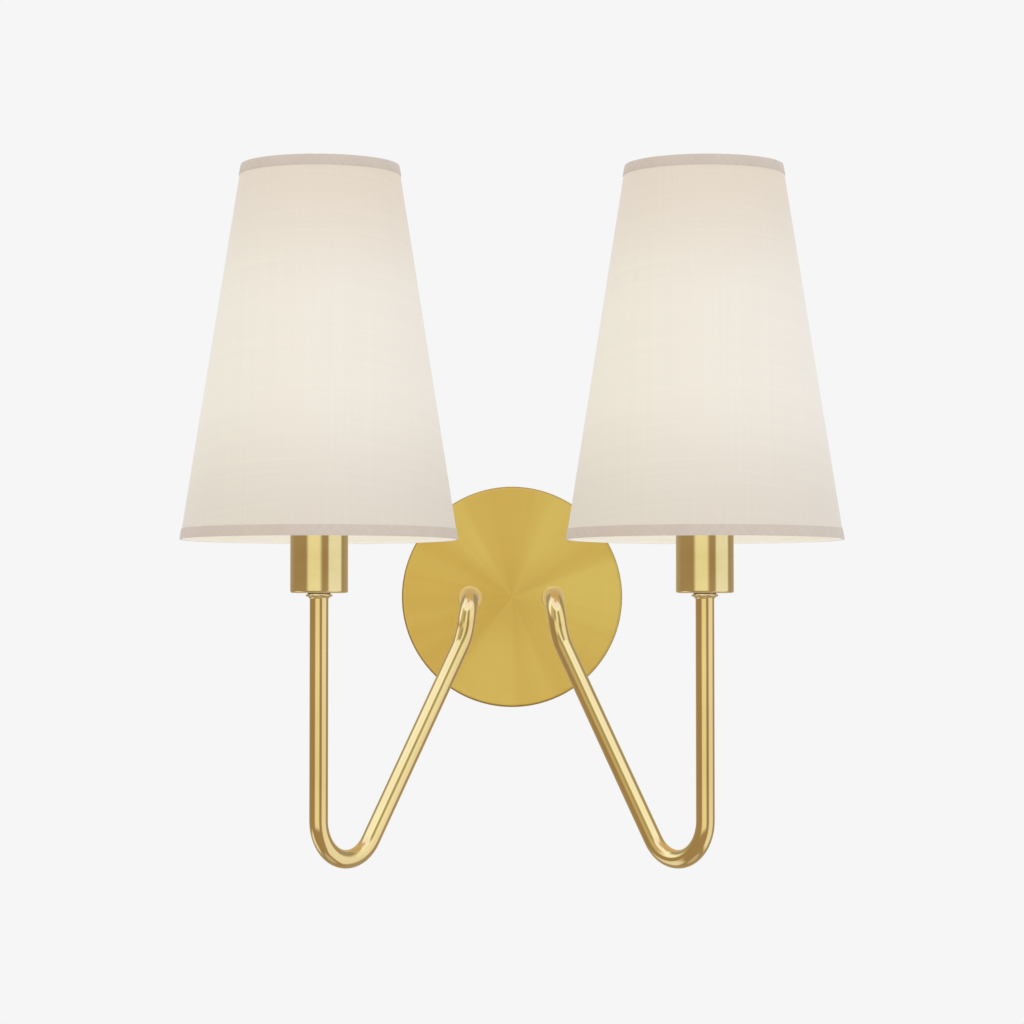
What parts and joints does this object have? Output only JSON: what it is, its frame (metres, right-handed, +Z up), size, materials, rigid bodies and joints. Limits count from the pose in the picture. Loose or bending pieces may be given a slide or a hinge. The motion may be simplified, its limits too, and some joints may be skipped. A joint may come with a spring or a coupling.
{
  "type": "double arm wall sconce",
  "caption": "Wall sconce with two bent brass arms on a round backplate, each with a cup, a lampholder, a candle bulb and a tall tapered fabric shade.",
  "frame": {"origin": "centre of the wall face, midway between the two box screw slots of the crossbar", "axes": "+X to the right as seen from the room, +Z up, +Y into the wall; the lamp stands out towards -Y"},
  "size_m": [0.3948, 0.2188, 0.4197],
  "materials": {
    "satin_brass": "satin brushed brass, lacquered",
    "zinc_steel": "bright zinc plated",
    "green_metal": "green passivated",
    "green_insulation": "soft green insulation",
    "black_insulation": "soft black insulation",
    "white_insulation": "soft white insulation",
    "connector_plastic": "ribbed orange plastic",
    "holder_plastic": "moulded ivory insulator",
    "contact_brass": "bright spring brass",
    "cap_metal": "bright nickel finish",
    "cap_glass": "black glass insulator",
    "solder": "dull solder",
    "frosted_glass": "frosted, warm white",
    "clear_glass": "clear",
    "filament": "warm glowing stick",
    "shade_fabric": "fine cream white weave",
    "shade_liner": "translucent white sheet",
    "trim_fabric": "folded cream tape",
    "white_wire": "white powder coat"
  },
  "bodies": {
    "root": {"backplate": "satin_brass", "wall_crossbar": "zinc_steel", "canopy_set_screws": "zinc_steel", "ground_screw": "green_metal", "ground_wire": "green_insulation", "wire_connectors": "connector_plastic", "wall_lock_washers": "zinc_steel", "wall_lock_nuts": "zinc_steel", "neck_washers": "satin_brass", "cup_lock_nuts": "zinc_steel", "terminal_screws": "zinc_steel", "left_arm_tube": "satin_brass", "left_wall_collar": "satin_brass", "left_neck_ring": "satin_brass", "left_socket_cup": "satin_brass", "left_lampholder_body": "holder_plastic", "left_lampholder_shell": "contact_brass", "left_lampholder_contact": "contact_brass", "left_live_wire": "black_insulation", "left_neutral_wire": "white_insulation", "right_arm_tube": "satin_brass", "right_wall_collar": "satin_brass", "right_neck_ring": "satin_brass", "right_socket_cup": "satin_brass", "right_lampholder_body": "holder_plastic", "right_lampholder_shell": "contact_brass", "right_lampholder_contact": "contact_brass", "right_live_wire": "black_insulation", "right_neutral_wire": "white_insulation"},
    "left_shade": {"left_shade_fitter": "white_wire", "left_shade_fabric": "shade_fabric", "left_shade_liner": "shade_liner", "left_shade_top_trim": "trim_fabric", "left_shade_bottom_trim": "trim_fabric", "left_shade_top_wire": "white_wire", "left_shade_bottom_wire": "white_wire"},
    "left_ring_washer": {"left_shade_washer": "zinc_steel"},
    "left_ring": {"left_shade_ring": "contact_brass"},
    "left_bulb_tip": {"left_bulb_contact": "solder"},
    "left_bulb": {"left_bulb_glass": "frosted_glass", "left_bulb_cap": "cap_metal", "left_bulb_insulator": "cap_glass", "left_bulb_stem": "clear_glass", "left_bulb_filament": "filament"},
    "right_shade": {"right_shade_fitter": "white_wire", "right_shade_fabric": "shade_fabric", "right_shade_liner": "shade_liner", "right_shade_top_trim": "trim_fabric", "right_shade_bottom_trim": "trim_fabric", "right_shade_top_wire": "white_wire", "right_shade_bottom_wire": "white_wire"},
    "right_ring_washer": {"right_shade_washer": "zinc_steel"},
    "right_ring": {"right_shade_ring": "contact_brass"},
    "right_bulb_tip": {"right_bulb_contact": "solder"},
    "right_bulb": {"right_bulb_glass": "frosted_glass", "right_bulb_cap": "cap_metal", "right_bulb_insulator": "cap_glass", "right_bulb_stem": "clear_glass", "right_bulb_filament": "filament"}
  },
  "joints": [
    {"name": "left_shade_turn", "type": "hinge", "parent": "root", "child": "left_shade", "pos_m": [-0.1146, -0.136, 0.0457], "axis": [0, 0, 1], "continuous": true},
    {"name": "left_ring_lift", "type": "slide", "parent": "root", "child": "left_ring_washer", "axis": [0, 0, 1], "range_m": [0, 0.0041]},
    {"name": "left_ring_turn", "type": "hinge", "parent": "left_ring_washer", "child": "left_ring", "pos_m": [-0.1146, -0.136, 0.0503], "axis": [0, 0, 1], "range_deg": [0, 720]},
    {"name": "left_bulb_lift", "type": "slide", "parent": "root", "child": "left_bulb_tip", "axis": [0, 0, 1], "range_m": [0, 0.0077]},
    {"name": "left_bulb_turn", "type": "hinge", "parent": "left_bulb_tip", "child": "left_bulb", "pos_m": [-0.1146, -0.136, 0.05], "axis": [0, 0, 1], "range_deg": [0, 1080]},
    {"name": "right_shade_turn", "type": "hinge", "parent": "root", "child": "right_shade", "pos_m": [0.1146, -0.136, 0.0457], "axis": [0, 0, 1], "continuous": true},
    {"name": "right_ring_lift", "type": "slide", "parent": "root", "child": "right_ring_washer", "axis": [0, 0, 1], "range_m": [0, 0.0041]},
    {"name": "right_ring_turn", "type": "hinge", "parent": "right_ring_washer", "child": "right_ring", "pos_m": [0.1146, -0.136, 0.0503], "axis": [0, 0, 1], "range_deg": [0, 720]},
    {"name": "right_bulb_lift", "type": "slide", "parent": "root", "child": "right_bulb_tip", "axis": [0, 0, 1], "range_m": [0, 0.0077]},
    {"name": "right_bulb_turn", "type": "hinge", "parent": "right_bulb_tip", "child": "right_bulb", "pos_m": [0.1146, -0.136, 0.05], "axis": [0, 0, 1], "range_deg": [0, 1080]}
  ],
  "couplings": [
    {"joint": "left_ring_lift", "follows": "left_ring_turn", "m_per_rad": 0.00031831},
    {"joint": "left_bulb_lift", "follows": "left_bulb_turn", "m_per_rad": 0.00040425},
    {"joint": "right_ring_lift", "follows": "right_ring_turn", "m_per_rad": 0.00031831},
    {"joint": "right_bulb_lift", "follows": "right_bulb_turn", "m_per_rad": 0.00040425}
  ]
}
